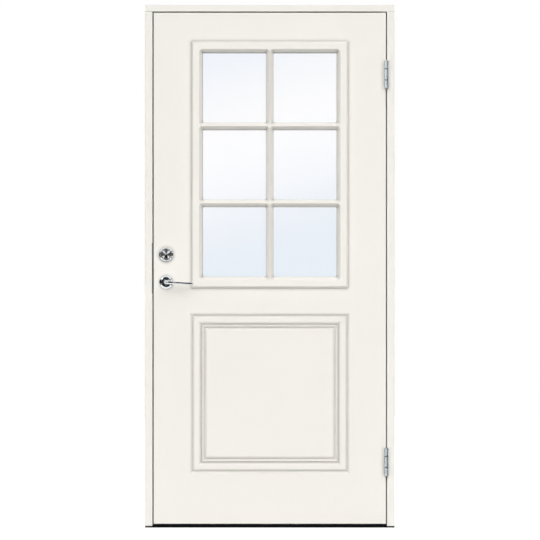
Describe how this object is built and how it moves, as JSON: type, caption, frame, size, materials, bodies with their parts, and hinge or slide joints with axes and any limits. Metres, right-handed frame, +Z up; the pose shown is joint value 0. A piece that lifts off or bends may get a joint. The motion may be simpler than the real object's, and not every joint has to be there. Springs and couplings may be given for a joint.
{
  "type": "front door with frame",
  "caption": "White panelled front door in its frame: glazed upper half with glazing bars, moulded lower panel, lever lock with thumb turn, knuckle hinges and dark threshold.",
  "frame": {"origin": "middle of the threshold's underside, halfway through the frame's depth", "axes": "+Z up, +X towards the hinges seen from outside, +Y into the house"},
  "size_m": [0.988, 0.175, 2.07],
  "materials": {
    "painted_wood": "satin paint",
    "pine": "planed",
    "black_hardwood": "black oil stain",
    "insulation_foam": "closed-cell foam",
    "seal_rubber": "matt",
    "clear_glass": "polished",
    "spacer_grey": "matt",
    "zinc_steel": "zinc plated",
    "grey_steel": "dark plated",
    "chrome": "polished",
    "brass": "satin",
    "aluminium": "anodised"
  },
  "bodies": {
    "frame": {"frame_head": "painted_wood", "lock_jamb": "painted_wood", "hinge_jamb": "painted_wood", "threshold": "black_hardwood", "threshold_rail": "aluminium", "head_seal": "seal_rubber", "lock_jamb_seal": "seal_rubber", "hinge_jamb_seal": "seal_rubber", "threshold_seal": "seal_rubber", "strike_plate": "grey_steel", "strike_screws": "zinc_steel", "corner_screws": "zinc_steel", "upper_frame_hinge": "zinc_steel", "lower_frame_hinge": "zinc_steel", "hinge_pins": "zinc_steel", "hinge_washers": "brass", "frame_hinge_screws": "zinc_steel"},
    "leaf": {"outer_skin": "painted_wood", "inner_skin": "painted_wood", "lock_stile": "painted_wood", "hinge_stile": "painted_wood", "top_rail": "painted_wood", "bottom_rail": "painted_wood", "aperture_lining": "pine", "insulation_core": "insulation_foam", "outer_glazing_frame": "painted_wood", "inner_glazing_frame": "painted_wood", "outer_gasket": "seal_rubber", "inner_gasket": "seal_rubber", "outer_pane": "clear_glass", "middle_pane": "clear_glass", "inner_pane": "clear_glass", "outer_spacer": "spacer_grey", "inner_spacer": "spacer_grey", "setting_blocks": "seal_rubber", "glazing_screws": "zinc_steel", "upper_door_hinge": "zinc_steel", "lower_door_hinge": "zinc_steel", "door_hinge_screws": "zinc_steel", "lock_case": "zinc_steel", "case_cover": "zinc_steel", "faceplate": "zinc_steel", "faceplate_screws": "zinc_steel", "outer_rose": "chrome", "inner_rose": "chrome", "cylinder_ring": "chrome", "cylinder_body": "chrome", "turn_rose": "chrome"},
    "handle": {"outer_lever": "chrome", "inner_lever": "chrome", "spindle": "zinc_steel", "follower": "grey_steel", "grub_screws": "grey_steel"},
    "latch": {"latch_bolt": "grey_steel"},
    "thumb_turn": {"thumb_turn": "chrome", "bolt_cam": "grey_steel"},
    "dead_bolt": {"dead_bolt": "zinc_steel"},
    "key_plug": {"key_plug": "brass"}
  },
  "joints": [
    {"name": "door_swing", "type": "hinge", "parent": "frame", "child": "leaf", "pos_m": [0.462, -0.062, 0], "axis": [0, 0, 1], "range_deg": [0, 170]},
    {"name": "handle_turn", "type": "hinge", "parent": "leaf", "child": "handle", "pos_m": [-0.41, 0, 0.972], "axis": [0, 1, 0], "range_deg": [0, 45], "stiffness_Nm_per_rad": 1.2, "springref_deg": -25.78},
    {"name": "latch_slide", "type": "slide", "parent": "leaf", "child": "latch", "axis": [1, 0, 0], "range_m": [0, 0.0131]},
    {"name": "thumb_turn_turn", "type": "hinge", "parent": "leaf", "child": "thumb_turn", "pos_m": [-0.41, 0, 1.082], "axis": [0, 1, 0], "range_deg": [0, 90]},
    {"name": "bolt_slide", "type": "slide", "parent": "leaf", "child": "dead_bolt", "axis": [-1, 0, 0], "range_m": [0, 0.0206]},
    {"name": "key_turn", "type": "hinge", "parent": "leaf", "child": "key_plug", "pos_m": [-0.41, 0, 1.074], "axis": [0, 1, 0], "range_deg": [-90, 90]}
  ],
  "couplings": [
    {"joint": "latch_slide", "follows": "handle_turn", "m_per_rad": 0.016566},
    {"joint": "bolt_slide", "follows": "thumb_turn_turn", "m_per_rad": 0.013051}
  ]
}
